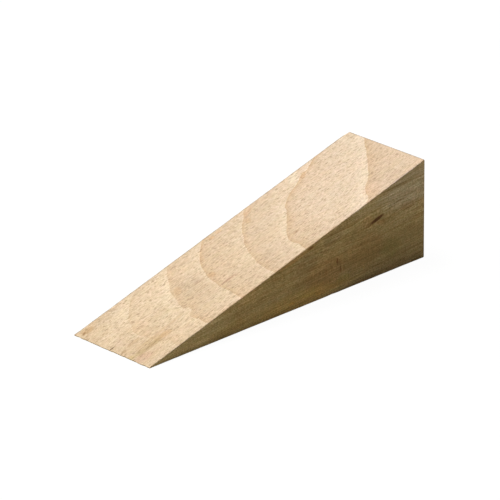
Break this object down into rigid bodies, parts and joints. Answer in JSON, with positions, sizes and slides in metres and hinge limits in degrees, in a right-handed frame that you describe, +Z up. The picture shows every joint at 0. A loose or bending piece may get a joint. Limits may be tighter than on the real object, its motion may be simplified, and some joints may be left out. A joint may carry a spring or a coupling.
{
  "type": "door wedge",
  "caption": "Plain solid beech door wedge: flat underside, square back end, one face sloping to a thin edge that slides under a door.",
  "frame": {"origin": "middle of the flat underside, on the floor", "axes": "+X from the thin tip to the thick back end, +Y across the width, +Z up"},
  "size_m": [0.14, 0.04, 0.0394],
  "materials": {
    "beech": "bare, fine sawn and lightly sanded"
  },
  "bodies": {
    "root": {"wedge_body": "beech"}
  },
  "joints": []
}
